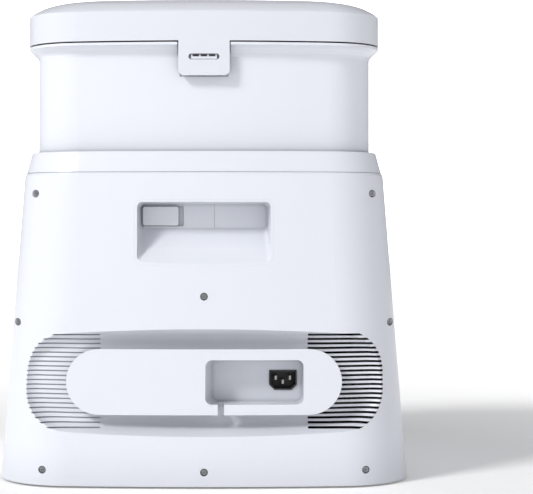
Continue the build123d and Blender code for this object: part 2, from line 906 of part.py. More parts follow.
def roof(shrink=0.0):
    """The lid's outside: an upright band and a roof that flattens step by step towards the middle."""
    low = lid_outline.inset(shrink)
    crease_z = lid_crease_z - shrink * 0.3
    sections = [low.at(lid_low_z - (1 if shrink else 0)), low.at(crease_z)]
    for inset, z in lid_roof:
        sections.append(roof_outline(inset).inset(shrink).at(lid_crease_z + z - shrink))
    sections.append(lid_top.inset(shrink).at(lid_top_z - shrink))
    return loft(sections, ruled=True)


def lid_tab():
    """The tab that hangs from the lid's rear over the hinge, with its window."""
    ring = prism(lid_outline, tab_low_z, lid_low_z + 2) - prism(lid_outline.inset(lid_wall), 0, lid_top_z)
    middle_z = (tab_low_z + lid_crease_z) / 2
    face = window_face(2 * tab_half, lid_crease_z - tab_low_z, tab_corner, 0, middle_z, 300)
    tab = ring & extrude(face, amount=200)
    width, height = tab_window
    opening = window_face(width, height, height / 2 - 0.05, 0, tab_window_z, 300)
    return tab - extrude(opening, amount=200)


def lid_knuckle(side):
    inner_y = lid_outline.rear - lid_wall
    x0, x1 = sorted((side * knuckle_x[0], side * knuckle_x[1]))
    knuckle = rod((x0, hinge_y, hinge_z), (x1, hinge_y, hinge_z), knuckle_radius)
    low_z = hinge_z - knuckle_radius
    knuckle += bar((x0, hinge_y, low_z), (x1, inner_y + 0.5, hinge_z + knuckle_radius))
    return knuckle + bar((x0, inner_y - 2.0, hinge_z), (x1, inner_y + 0.5, lid_low_z + 4))


def lid_shell():
    shell = roof() - roof(lid_wall) + lid_tab()
    for side in (-1, 1):
        shell += lid_knuckle(side)
    shell -= rod((-30, hinge_y, hinge_z), (30, hinge_y, hinge_z), hinge_pin_radius)
    reach = panel_half + panel_gap
    y0, y1 = panel_y
    seat_z = panel_top_z - panel_thickness
    seat = bar((-reach, y0 - panel_gap, seat_z), (reach, y1 + panel_gap, panel_top_z + 5))
    shell -= fillet(seat.edges().filter_by(Axis.Z), panel_corner)
    for x in button_x:
        shell -= rod((x, button_y, lid_crease_z), (x, button_y, panel_top_z + 5), button_radius)
    return shell


def lid_frame():
    outer, inner = frame_inset
    low_z, high_z = frame_z
    frame = prism(lid_outline.inset(outer), low_z, high_z)
    frame -= prism(lid_outline.inset(inner), low_z - 1, high_z + 1)
    half = knuckle_x[1] + 0.5
    rear_y = lid_outline.rear - lid_wall
    return frame - bar((-half, rear_y - 2.6, low_z - 1), (half, rear_y + 5, high_z + 1))


def lid_gasket():
    outer, inner = gasket_inset
    return prism(lid_outline.inset(outer), *gasket_z) - prism(
        lid_outline.inset(inner), gasket_z[0] - 1, gasket_z[1] + 1
    )


def hinge_bracket():
    """The fixed leaf behind the tab: the middle knuckle, and a ribbed bar that stands in the window."""
    half = knuckle_x[0] - knuckle_gap
    back = lid_outline.rear - housing_inset - hinge_recess[1]
    window_z = tab_window_z - tab_window[1] / 2
    bar_z = (window_z + window_bar_gap, window_z + window_bar_gap + window_bar_height)
    rib_top_z = window_z + tab_window[1] - window_rib_drop
    bar_y = lid_outline.rear - lid_wall + window_bar_reach
    leaf = bar((-half, back, hinge_z - 3.4), (half, back + 1.2, rib_top_z))
    leaf += rod((-half, hinge_y, hinge_z), (half, hinge_y, hinge_z), knuckle_radius)
    leaf += bar((-half, back, hinge_z - knuckle_radius), (half, hinge_y, hinge_z + knuckle_radius))
    leaf += bar((-window_bar_half, back, bar_z[0]), (window_bar_half, bar_y, bar_z[1]))
    pitch = (2 * window_bar_half - window_rib) / window_cells
    for i in range(window_cells + 1):
        x = -window_bar_half + window_rib / 2 + i * pitch
        low = (x - window_rib / 2, back, bar_z[0] + 1)
        leaf += bar(low, (x + window_rib / 2, bar_y - window_rib_step, rib_top_z))
    return leaf - rod((-30, hinge_y, hinge_z), (30, hinge_y, hinge_z), hinge_pin_radius + hinge_pin_gap)


def hinge_pin():
    end = knuckle_x[1] - 0.5
    return rod((-end, hinge_y, hinge_z), (end, hinge_y, hinge_z), hinge_pin_radius)


def control_panel():
    y0, y1 = panel_y
    plate = bar((-panel_half, y0, panel_top_z - panel_thickness), (panel_half, y1, panel_top_z))
    plate = fillet(plate.edges().filter_by(Axis.Z), panel_corner)
    plate = fillet(plate.edges().group_by(Axis.Z)[-1], 0.8)
    for x in button_x:
        plate -= rod((x, button_y, lid_crease_z), (x, button_y, panel_top_z + 5), button_radius)
    return plate


def button(x):
    top = panel_top_z - 0.2
    cap = rod((x, button_y, top - panel_thickness + 0.4), (x, button_y, top), button_radius - button_gap)
    cap += rod((x, button_y, top - button_height), (x, button_y, top - 1), button_radius - 3)
    return fillet(cap.edges().group_by(Axis.Z)[-1], 0.5)


def button_board():
    low = panel_top_z - 0.2 - button_height - button_travel - button_board_gap
    half = panel_half - 4
    board = bar((-half, button_y - board_reach, low - 1.6), (half, button_y + board_reach, low))
    for x in (4 - half, -15, 15, half - 4):
        for y in (button_y - board_post_reach, button_y + board_post_reach):
            board += rod((x, y, low - 0.5), (x, y, lid_top_z - lid_wall - 1.5), 2.0)
    return board


# Tanks ---------------------------------------------------------------------------------------------
def tank_outline(side, inset=0.0):
    """Half of the housing's inside, less the divider: the plan of one tank."""
    inside = housing_outline(housing_wall + tank_gap + inset)
    face = inside.at(0)
    near = divider / 2 + tank_gap + inset
    x0, x1 = sorted((side * near, side * 300))
    face &= Pos((x0 + x1) / 2, 0, 0) * Rectangle(x1 - x0, 800)
    face -= Pos(0, inside.rear - 1.5) * Rectangle(2 * hinge_recess[0] + 8, 5.0)
    return face


def tank(side):
    shell = extrude(tank_outline(side), amount=tank_high_z - tank_low_z).moved(Pos(0, 0, tank_low_z))
    room = extrude(tank_outline(side, tank_wall), amount=tank_high_z)
    shell -= room.moved(Pos(0, 0, tank_low_z + tank_wall))
    x = side * port_x
    shell += rod((x, port_y, housing_floor_z + 0.5), (x, port_y, tank_low_z + 1), port_radius - 1.5)
    return shell - rod((x, port_y, housing_floor_z), (x, port_y, tank_low_z + 10), port_radius - 4)


def tank_seal(side):
    ring = extrude(tank_outline(side), amount=tank_seal_height) - extrude(
        tank_outline(side, tank_wall), amount=tank_seal_height
    )
    return ring.moved(Pos(0, 0, tank_high_z))


def tank_lid(side):
    low_z = tank_high_z + tank_seal_height
    lid = extrude(tank_outline(side), amount=tank_lid_height).moved(Pos(0, 0, low_z))
    room = extrude(tank_outline(side, tank_wall), amount=tank_lid_height - tank_wall + 1)
    lid -= room.moved(Pos(0, 0, low_z - 1))
    middle = side * handle_x()
    for end in (-1, 1):
        x = middle + end * (handle_half - handle_ear - 0.4 - handle_ear / 2)
        lid += bar(
            (x - handle_ear / 2, handle_pivot_y - 5, low_z + tank_lid_height - 1),
            (x + handle_ear / 2, handle_pivot_y + 5, handle_pivot_z + 4.2),
        )
        start = (x - end * handle_ear / 2, handle_pivot_y, handle_pivot_z)
        lid += rod(start, (middle + end * handle_half, handle_pivot_y, handle_pivot_z), handle_pin_radius)
    return lid


def handle_x():
    """The middle of a tank, across the station."""
    return (housing_outline(housing_wall).width / 2 + divider / 2) / 2


def tank_handle(side):
    """A flat bail, lying forward of its pivots when it is folded down."""
    middle = side * handle_x()
    arm_x = handle_half - handle_ear / 2
    low = handle_pivot_z - handle_bar / 2
    high = handle_pivot_z + handle_bar / 2
    bail = bar(
        (middle - handle_half, handle_pivot_y - handle_reach, low),
        (middle + handle_half, handle_pivot_y - handle_reach + 16, high),
    )
    for end in (-1, 1):
        x = middle + end * arm_x
        x0, x1 = x - handle_ear / 2, x + handle_ear / 2
        bail += bar((x0, handle_pivot_y - handle_reach, low), (x1, handle_pivot_y, high))
        start = (x0, handle_pivot_y, handle_pivot_z)
        bail += rod(start, (x1, handle_pivot_y, handle_pivot_z), handle_bar / 2)
    start = (middle - 80, handle_pivot_y, handle_pivot_z)
    end = (middle + 80, handle_pivot_y, handle_pivot_z)
    return bail - rod(start, end, handle_pin_radius + handle_pin_gap)


def clean_valve():
    """The clean tank's valve: a head over the port and a stem down through it."""
    floor_z = tank_low_z + tank_wall + 0.3
    x = port_x
    valve = rod((x, port_y, floor_z), (x, port_y, floor_z + valve_head_height), valve_head_radius)
    return valve + rod((x, port_y, floor_z - valve_drop), (x, port_y, floor_z + 1), valve_stem_radius)


def port_seals():
    """Lip seals on the housing's floor round the two ports."""
    seals = []
    for side in (-1, 1):
        ring = tube(
            (side * port_x, port_y, housing_floor_z - 4),
            (side * port_x, port_y, housing_floor_z),
            port_radius + 3,
            port_radius - 3.5,
        )
        seals.append(ring)
    return seals


def float_bracket():
    """Hangs from the waste tank's lid and carries the float's pivot."""
    x = -handle_x()
    top = tank_high_z + tank_seal_height + tank_lid_height - tank_wall
    bracket = bar((x - 7, float_y - 4, float_z - 4), (x - 4.5, float_y + 4, top))
    bracket += bar((x + 4.5, float_y - 4, float_z - 4), (x + 7, float_y + 4, top))
    bracket += bar((x - 7, float_y - 4, top - 2), (x + 7, float_y + 4, top))
    return bracket + rod((x - 6, float_y, float_z), (x + 6, float_y, float_z), 1.5)


def level_float():
    x = -handle_x()
    low_z = float_z - 26
    arm_end = (x, float_y + float_arm_length, low_z)
    lever = rod((x, float_y, float_z), arm_end, 2.0)
    lever += Pos(*arm_end) * Sphere(float_radius)
    lever += rod((x - 3.5, float_y, float_z), (x + 3.5, float_y, float_z), 3.6)
    return lever - rod((x - 10, float_y, float_z), (x + 10, float_y, float_z), 1.5 + shaft_gap)


# Drying fan ----------------------------------------------------------------------------------------
def fan_housing():
    x, y, z = fan_centre
    half = fan_half
    deep = fan_depth / 2
    box = beam(x, z, half, half, y - deep, y + deep)
    box = fillet(box.edges().filter_by(Axis.Y), 8.0)
    box -= rod((x, y - deep + fan_wall + 0.5, z), (x, y + deep - fan_wall, z), half - fan_wall)
    box -= rod((x, y, z), (x, y + deep + 1, z), impeller_radius - 6)
    duct_x, duct_z = duct_half
    box -= beam(x, z, duct_x - duct_wall, duct_z - duct_wall, y - deep - 1, y - deep + 5)
    low = y - deep
    spider = bar((x - half + 1, low, z - 2), (x + half - 1, low + fan_wall + 0.5, z + 2))
    box += spider
    return box + rod((x, low, z), (x, low + fan_wall + 3 + impeller_length, z), shaft_radius)


def fan_impeller():
    x, y, z = fan_centre
    low = y - fan_depth / 2 + fan_wall + 1.5
    wheel = rod((x, low, z), (x, low + 2, z), impeller_radius)
    wheel += rod((x, low, z), (x, low + impeller_length - 2, z), shaft_radius + 4)
    for number in range(impeller_blades):
        turn = Pos(x, low, z) * Rot(0, number * 360 / impeller_blades, 0)
        blade = bar((impeller_radius - 8, 1, -0.8), (impeller_radius - 0.5, impeller_length, 0.8))
        wheel += turn * blade
    end = low + impeller_length
    wheel += tube((x, end - 2, z), (x, end, z), impeller_radius, impeller_radius - 4)
    return wheel - rod((x, low - 1, z), (x, low + 40, z), shaft_radius + shaft_gap)


def air_duct():
    x, y, z = fan_centre
    duct_x, duct_z = duct_half
    back = y - fan_depth / 2
    duct = beam(x, z, duct_x, duct_z, 20, back)
    duct -= beam(x, z, duct_x - duct_wall, duct_z - duct_wall, 10, back + 1)
    return duct - d_prism(bay_half + bay_wall, 0, 200, -300)


def air_heater():
    x, _, z = fan_centre
    half_x, half_z = heater_half
    y0, y1 = heater_y
    core = beam(x, z, half_x, half_z, y0, y1)
    for number in range(4):
        core -= beam(x, z + (number - 1.5) * 4.6, half_x - 1.5, 1.4, y0 - 1, y1 + 1)
    for side in (-1, 1):
        x0, x1 = sorted((x + side * (half_x - 0.5), x + side * (duct_half[0] - duct_wall)))
        core += bar((x0, y0 + 4, z - 2), (x1, y1 - 4, z + 2))
    return core


# Pumps and hoses -----------------------------------------------------------------------------------
def pump_housing(x):
    """Motor can and pump head in one line along Y, standing on the deck."""
    head = (x, pump_y - pump_length / 2, pump_z)
    neck = (x, pump_y - pump_length / 2 + pump_head_length, pump_z)
    tail = (x, pump_y + pump_length / 2, pump_z)
    pump = rod(head, neck, pump_radius) + rod(neck, tail, pump_radius - 4)
    pump += rod((x, tail[1] - 1, pump_z), (x, tail[1] + 4, pump_z), 6)
    pump += bar((x - 14, pump_y - 20, deck_top), (x + 14, pump_y + 20, pump_z - 12))
    pump += rod((x, pump_y - 20, pump_z), (x, pump_y - 20, pump_z + pump_radius + 12), spigot_radius)
    pump += rod((x, head[1] - 10, pump_z), head, spigot_radius)
    low = head[1] + pump_wall
    pump -= rod((x, low, pump_z), (x, neck[1] - pump_wall, pump_z), pump_radius - pump_wall)
    pump += rod((x, neck[1] - pump_wall - rotor_length - 3, pump_z), (x, neck[1], pump_z), shaft_radius)
    pump -= rod((x, pump_y - 20, pump_z + pump_radius - pump_wall - 1), (x, pump_y - 20, 400), spigot_bore)
    return pump - rod((x, head[1] - 11, pump_z), (x, low + 0.5, pump_z), spigot_bore)


def pump_rotor(x):
    high = pump_y - pump_length / 2 + pump_head_length - pump_wall - 1
    low = high - rotor_length
    rotor = rod((x, high - 2, pump_z), (x, high, pump_z), rotor_radius)
    rotor += rod((x, low, pump_z), (x, high, pump_z), shaft_radius + 2.5)
    for number in range(rotor_blades):
        turn = Pos(x, low, pump_z) * Rot(0, number * 360 / rotor_blades, 0)
        rotor += turn * bar((shaft_radius + 1.5, 0, -0.8), (rotor_radius, rotor_length - 1, 0.8))
    return rotor - rod((x, low - 1, pump_z), (x, high + 1, pump_z), shaft_radius + shaft_gap)


def hose(points, bends):
    path = FilletPolyline(*points, radius=bends)
    start = path @ 0
    ring = Circle(hose_radius) - Circle(hose_bore)
    profile = Plane(origin=start, z_dir=path % 0) * ring
    return sweep(profile, path=path)


def tank_hoses():
    """From each port in the housing's floor down to the pump below it."""
    hoses = []
    for side, x in ((1, clean_pump_x), (-1, waste_pump_x)):
        spigot_y = pump_y - 20
        top = (side * port_x, port_y, housing_floor_z - 4.3)
        foot = (x, spigot_y, pump_z + pump_radius + 4)
        middle = (top[2] + foot[2]) / 2
        points = [
            top,
            (top[0], top[1], middle + 14),
            (foot[0], foot[1], middle - 14),
            foot,
        ]
        hoses.append(hose(points, 24.0))
    return hoses


def bay_hoses():
    """From each pump's nose down through the deck to the bay's ceiling."""
    hoses = []
    for x in (clean_pump_x, waste_pump_x):
        start_y = pump_y - pump_length / 2 - 6
        points = [
            (x, start_y, pump_z),
            (x, start_y - 30, pump_z),
            (x, start_y - 30, bay_height + 1.0),
        ]
        hoses.append(hose(points, 16.0))
    return hoses


def hose_holes():
    y = pump_y - pump_length / 2 - 36
    return [rod((x, y, 100), (x, y, deck_top + 5), hose_radius + 0.2) for x in (clean_pump_x, waste_pump_x)]


# Electrics -----------------------------------------------------------------------------------------
def power_supply():
    x, y = supply_middle
    width, deep, height = supply_size
    box = bar((x - width / 2, y - deep / 2, deck_top), (x + width / 2, y + deep / 2, deck_top + height))
    box = fillet(box.edges().filter_by(Axis.Z), 3.0)
    for number in range(9):
        offset = (number - 4) * 9.0
        box -= beam(x + offset, deck_top + height, 1.5, 1.2, y - deep / 2 + 10, y + deep / 2 - 10)
    return box


def main_board():
    x, y = board_middle
    width, deep, thick = board_size
    low = deck_top + board_lift
    board = bar((x - width / 2, y - deep / 2, low), (x + width / 2, y + deep / 2, low + thick))
    for dx in (-1, 1):
        for dy in (-1, 1):
            post = (x + dx * (width / 2 - 5), y + dy * (deep / 2 - 5))
            board += rod((*post, deck_top), (*post, low + 0.5), 3.0)
    chips = [(-30, -12, 18, 18), (10, -14, 14, 14), (34, 10, 22, 10), (-34, 20, 26, 8), (2, 16, 12, 20)]
    for dx, dy, chip_x, chip_y in chips:
        y0, y1 = y + dy - chip_y / 2, y + dy + chip_y / 2
        board += bar((x + dx - chip_x / 2, y0, low + 1), (x + dx + chip_x / 2, y1, low + thick + chip_height))
    return board


def mains_wires():
    """Three insulated wires from the inlet's tails up to the power supply."""
    wires = []
    _, deep, height = supply_size
    end_y = supply_middle[1] + deep / 2 + 0.1
    end_z = deck_top + height / 2
    start_y = inlet_front() - inlet_body_depth - pin_tail - 0.1
    for x, z in inlet_pin_places():
        turn_y = start_y - wire_drop
        points = [(x, start_y, z), (x, turn_y, z), (x, turn_y, end_z), (x, end_y, end_z)]
        path = FilletPolyline(*points, radius=wire_drop * 0.45)
        profile = Plane(origin=path @ 0, z_dir=path % 0) * Circle(wire_radius)
        wires.append(sweep(profile, path=path))
    return wires


# Inside the bay ------------------------------------------------------------------------------------
def wash_tray():
    low = base_top + tray_gap
    top = base_top + tray_height
    tray = d_prism(tray_half, low, top, tray_front)
    tray -= d_prism(tray_half - tray_wall, low + tray_wall, top + 1, tray_front + tray_wall)
    x, y0, y1 = filter_half, *filter_y
    tray += bar((-x - 2, y0 - 2, low + 1), (x + 2, y0, top - 6))
    lip = bar((-40, tray_front - 6, top - 3), (40, tray_front + 1, top))
    return tray + lip


def tray_filter():
    x, y0, y1 = filter_half, *filter_y
    low = base_top + tray_gap + tray_wall
    mesh = bar((-x, y0, low), (x, y1, low + 9))
    for column in range(9):
        for row in range(3):
            px = (column - 4) * 5.0
            py = (y0 + y1) / 2 + (row - 1) * 5.2
            mesh -= bar((px - 1.7, py - 1.8, low + 1.5), (px + 1.7, py + 1.8, low + 10))
    return mesh


def wash_ribs():
    """Scrubbing ribs on a plate that lies in the tray."""
    low = base_top + tray_gap + tray_wall
    width, thick, height = rib_size
    span = (rib_count - 1) * rib_pitch / 2
    plate = bar((-width / 2, rib_middle_y - span - 6, low), (width / 2, rib_middle_y + span + 6, low + 2))
    for number in range(rib_count):
        y = rib_middle_y + (number - (rib_count - 1) / 2) * rib_pitch
        rib_half = width / 2 - 4
        plate += bar((-rib_half, y - thick / 2, low + 1), (rib_half, y + thick / 2, low + 2 + height))
    return plate


def contact_block():
    half, tall = contact_block_half
    block_z = (contact_z - tall, contact_z + tall)
    body = bar((-half, contact_block_front, block_z[0]), (half, 140, block_z[1]))
    body &= d_prism(bay_half, 0, 200, -200)
    width, height, deep = contact_size
    floor_y = contact_block_front + deep + contact_travel
    for x in (-contact_x, contact_x):
        half_x, half_z = width / 2 + fit_gap, height / 2 + fit_gap
        body -= beam(x, contact_z, half_x, half_z, contact_block_front - 1, floor_y)
    return body


def charge_contact(x):
    width, height, deep = contact_size
    front = contact_block_front - contact_proud
    pad = beam(x, contact_z, width / 2, height / 2, front, contact_block_front + deep - 0.5)
    return fillet(pad.edges().group_by(Axis.Y)[0], 1.0)


def signal_window():
    half, lift = window_half
    cut = bar((-half, 100, window_z - lift), (half, 140, window_z + lift))
    return cut & (d_prism(bay_half + 1.2, 0, 200, -200) - d_prism(bay_half - 0.6, -1, 201, -200))


def guide_roller(side):
    x = side * roller_x()
    low = roller_z - roller_height / 2
    high = roller_z + roller_height / 2
    wheel = rod((x, roller_y, low), (x, roller_y, high), roller_radius)
    wheel = fillet(wheel.edges(), 1.0)
    return wheel - rod((x, roller_y, low - 1), (x, roller_y, high + 1), roller_pin_radius + shaft_gap)


def roller_pins():
    reach = roller_height / 2 + roller_gap + roller_bracket_plate
    low = (roller_x(), roller_y, roller_z - reach)
    return both_sides(rod(low, (roller_x(), roller_y, roller_z + reach), roller_pin_radius))


def roller_brackets():
    brackets = []
    for side in (-1, 1):
        inner = bay_half + bay_wall
        outer = roller_x() + roller_radius + roller_gap + roller_bracket_plate
        x0, x1 = sorted((side * inner, side * outer))
        tall = roller_height / 2 + roller_gap
        half_z = tall + roller_bracket_plate
        bracket = bar((x0, roller_y - 9, roller_z - half_z), (x1, roller_y + 9, roller_z + half_z))
        y0, y1 = roller_y - 20, roller_y + 20
        hollow_x = sorted((side * (inner - 5), side * (outer - roller_bracket_plate)))
        bracket -= bar((hollow_x[0], y0, roller_z - tall), (hollow_x[1], y1, roller_z + tall))
        x = side * roller_x()
        bracket -= rod((x, roller_y, roller_z - 30), (x, roller_y, roller_z + 30), roller_pin_radius)
        brackets.append(bracket)
    return brackets


# Export --------------------------------------------------------------------------------------------
def save(name, solids):
    """One STEP file for a node. Groups of like pieces are saved together."""
    if isinstance(solids, (list, tuple)):
        solids = Compound(children=[piece for group in solids for piece in group.solids()])
    export_step(solids, f"parts/{name}.step")


def with_holes(solid, holes):
    for hole in holes:
        solid -= hole
    return solid


os.makedirs("parts", exist_ok=True)
save("base_plate", base_plate())
save("rubber_feet", rubber_feet())
save("entry_ramp", entry_ramp())
save("front_casing", front_casing())
save("rear_panel", rear_panel())
save("panel_screws", panel_screws())
save("spool_plate", spool_plate())
save("power_inlet", power_inlet())
save("inlet_pins", inlet_pins())
save("grip_pocket", grip_pocket())
save("service_slider", service_slider())
save("shoulder_ring", shoulder_ring())
save("tank_housing", tank_housing())
save("deck_frame", with_holes(deck_frame(), hose_holes()))
save("bay_liner", with_holes(bay_liner(), hose_holes()))
save("wash_tray", wash_tray())
save("tray_filter", tray_filter())
save("wash_ribs", wash_ribs())
save("contact_block", contact_block())
save("charge_contact_left", charge_contact(-contact_x))
save("charge_contact_right", charge_contact(contact_x))
save("signal_window", signal_window())
save("guide_roller_left", guide_roller(-1))
save("guide_roller_right", guide_roller(1))
save("roller_pins", roller_pins())
save("roller_brackets", roller_brackets())
save("fan_housing", fan_housing())
save("fan_impeller", fan_impeller())
save("air_duct", air_duct())
save("air_heater", air_heater())
save("clean_pump", pump_housing(clean_pump_x))
save("clean_pump_rotor", pump_rotor(clean_pump_x))
save("waste_pump", pump_housing(waste_pump_x))
save("waste_pump_rotor", pump_rotor(waste_pump_x))
save("tank_hoses", tank_hoses())
save("bay_hoses", bay_hoses())
save("power_supply", power_supply())
save("main_board", main_board())
save("mains_wires", mains_wires())
save("clean_tank", tank(1))
save("waste_tank", tank(-1))
save("tank_seals", [tank_seal(1), tank_seal(-1)])
save("clean_tank_lid", tank_lid(1))
save("waste_tank_lid", tank_lid(-1))
save("clean_tank_handle", tank_handle(1))
save("waste_tank_handle", tank_handle(-1))
save("clean_valve", clean_valve())
save("port_seals", port_seals())
save("float_bracket", float_bracket())
save("level_float", level_float())
save("lid_shell", lid_shell())
save("lid_frame", lid_frame())
save("lid_gasket", lid_gasket())
save("hinge_bracket", hinge_bracket())
save("hinge_pin", hinge_pin())
save("control_panel", control_panel())
save("button_left", button(button_x[0]))
save("button_middle", button(button_x[1]))
save("button_right", button(button_x[2]))
save("button_board", button_board())
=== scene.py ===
import json
import math

import bpy
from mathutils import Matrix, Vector


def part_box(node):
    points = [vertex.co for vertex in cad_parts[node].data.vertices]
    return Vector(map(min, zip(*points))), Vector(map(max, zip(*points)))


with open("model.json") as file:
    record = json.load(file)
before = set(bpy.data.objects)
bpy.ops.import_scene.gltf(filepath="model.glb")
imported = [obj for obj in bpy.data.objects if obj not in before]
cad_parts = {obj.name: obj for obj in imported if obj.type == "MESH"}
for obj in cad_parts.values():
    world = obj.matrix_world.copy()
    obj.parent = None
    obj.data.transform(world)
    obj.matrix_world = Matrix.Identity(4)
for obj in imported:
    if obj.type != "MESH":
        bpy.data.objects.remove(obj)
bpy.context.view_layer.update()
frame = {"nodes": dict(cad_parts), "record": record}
nodes = frame["nodes"]
scene = bpy.context.scene

noiseSpread = (0.35, 0.65)   # where most of a noise's values lie
tintStops = (0.3, 0.7)       # where a tint's two colours stand
# samples for the painted shade in crevices
paintedShadeSamples = 8


def newMaterial(name):
    material = bpy.data.materials.new(name)
    material.use_nodes = True
    tree = material.node_tree
    return material, tree, tree.nodes["Principled BSDF"]


def addNode(tree, kind, **inputs):
    node = tree.nodes.new(kind)
    for key, value in inputs.items():
        node.inputs[key.replace("_", " ")].default_value = value
    return node


def addNoise(tree, coordinate, scale, detail, roughness=0.5):
    noise = addNode(tree, "ShaderNodeTexNoise", Scale=scale, Detail=detail, Roughness=roughness)
    tree.links.new(coordinate, noise.inputs["Vector"])
    return noise.outputs["Fac"]


def addRange(tree, value, low, high, fromLow=noiseSpread[0], fromHigh=noiseSpread[1]):
    spread = addNode(tree, "ShaderNodeMapRange", From_Min=fromLow, From_Max=fromHigh, To_Min=low, To_Max=high)
    tree.links.new(value, spread.inputs["Value"])
    return spread.outputs["Result"]


def addTint(tree, value, first, second):
    ramp = tree.nodes.new("ShaderNodeValToRGB")
    for stop, position, color in zip(ramp.color_ramp.elements, tintStops, (first, second)):
        stop.position = position
        stop.color = (*color, 1.0)
    tree.links.new(value, ramp.inputs["Fac"])
    return ramp.outputs["Color"]


def addPaintedShade(tree, color, distance, shade):
    # painted shade: the colour darkens where other surfaces stand close, as ambient occlusion
    near = addNode(tree, "ShaderNodeAmbientOcclusion", Distance=distance)
    near.samples = paintedShadeSamples
    mix = tree.nodes.new("ShaderNodeMix")
    mix.data_type = "RGBA"
    mix.blend_type = "MULTIPLY"
    mix.inputs["Factor"].default_value = 1.0
    tree.links.new(color, mix.inputs["A"])
    tree.links.new(addRange(tree, near.outputs["AO"], 1.0 - shade, 1.0, 0.0, 1.0), mix.inputs["B"])
    return mix.outputs["Result"]


def addBump(tree, height, distance, strength, below=None):
    bump = addNode(tree, "ShaderNodeBump", Strength=strength, Distance=distance)
    tree.links.new(height, bump.inputs["Height"])
    if below is not None:
        tree.links.new(below, bump.inputs["Normal"])
    return bump.outputs["Normal"]


def addProduct(tree, first, second):
    product = tree.nodes.new("ShaderNodeMath")
    product.operation = "MULTIPLY"
    tree.links.new(first, product.inputs[0])
    tree.links.new(second, product.inputs[1])
    return product.outputs["Value"]


cameraSetup = {
    "distance": 1.600,   # from the rear panel's face
    "height": 0.2586,
    "lens": 111.4,
    "sensor": 36.0,
    "shiftX": 0.1173,
    "shiftY": -0.0458,
    "sees": 30.0,        # metres
}


def makeCamera(setup):
    data = bpy.data.cameras.new("rearCamera")
    data.lens = setup["lens"]
    data.sensor_width = setup["sensor"]
    data.shift_x = setup["shiftX"]
    data.shift_y = setup["shiftY"]
    data.clip_end = setup["sees"]
    camera = bpy.data.objects.new("rearCamera", data)
    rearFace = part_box("rear_panel")[1].y
    camera.location = (0.0, rearFace + setup["distance"], setup["height"])
    camera.rotation_euler = (math.radians(90), 0.0, math.radians(180))
    scene.collection.objects.link(camera)
    scene.camera = camera


keySetup = {
    "at": (2.0, 2.0, 2.0),
    "toward": (-1.2, -1.0, -1.2),
    "strength": 1.95,
    "softness": 14.0,   # degrees across
    "color": (1.0, 0.995, 0.985),
}
fillSetup = {
    "at": (1.3, 2.0, 0.5),
    "aim": (0.0, 0.0, 0.25),
    "size": 1.2,
    "power": 0.3,
    "color": (1.0, 1.0, 1.0),
}


def addLight(name, kind, at, toward, color):
    data = bpy.data.lights.new(name, kind)
    data.color = color
    light = bpy.data.objects.new(name, data)
    light.location = at
    light.rotation_euler = Vector(toward).to_track_quat("-Z", "Y").to_euler()
    scene.collection.objects.link(light)
    return data


def makeLights(key, fill):
    sun = addLight("keyLight", "SUN", key["at"], key["toward"], key["color"])
    sun.energy = key["strength"]
    sun.angle = math.radians(key["softness"])
    toward = Vector(fill["aim"]) - Vector(fill["at"])
    soft = addLight("fillLight", "AREA", fill["at"], toward, fill["color"])
    soft.shape = "DISK"
    soft.size = fill["size"]
    soft.energy = fill["power"]


worldSetup = {
    "color": (0.965, 0.975, 1.0),
    "left": 0.635,              # brighter on the key's side
    "right": 0.61,
    "overhead": 0.55,           # share of the level at the horizon
    "behind": 0.45,             # share of the level on the camera's side
    "dimming": (-0.9, 0.35),    # where along the depth it falls off
}


def makeWorld(setup):
    world = bpy.data.worlds.new("studio")
    scene.world = world
    world.use_nodes = True
    tree = world.node_tree
    background = tree.nodes["Background"]
    background.inputs["Color"].default_value = (*setup["color"], 1.0)
    direction = tree.nodes.new("ShaderNodeTexCoord").outputs["Generated"]
    parts = tree.nodes.new("ShaderNodeSeparateXYZ")
    tree.links.new(direction, parts.inputs["Vector"])
    level = addRange(tree, parts.outputs["X"], setup["right"], setup["left"], -1.0, 1.0)
    above = addRange(tree, parts.outputs["Z"], 1.0, setup["overhead"], 0.0, 1.0)
    depth = addRange(tree, parts.outputs["Y"], setup["behind"], 1.0, *setup["dimming"])
    level = addProduct(tree, addProduct(tree, level, above), depth)
    tree.links.new(level, background.inputs["Strength"])


makeCamera(cameraSetup)
makeLights(keySetup, fillSetup)
makeWorld(worldSetup)
scene.view_settings.view_transform = "Standard"
print("camera and light ready")
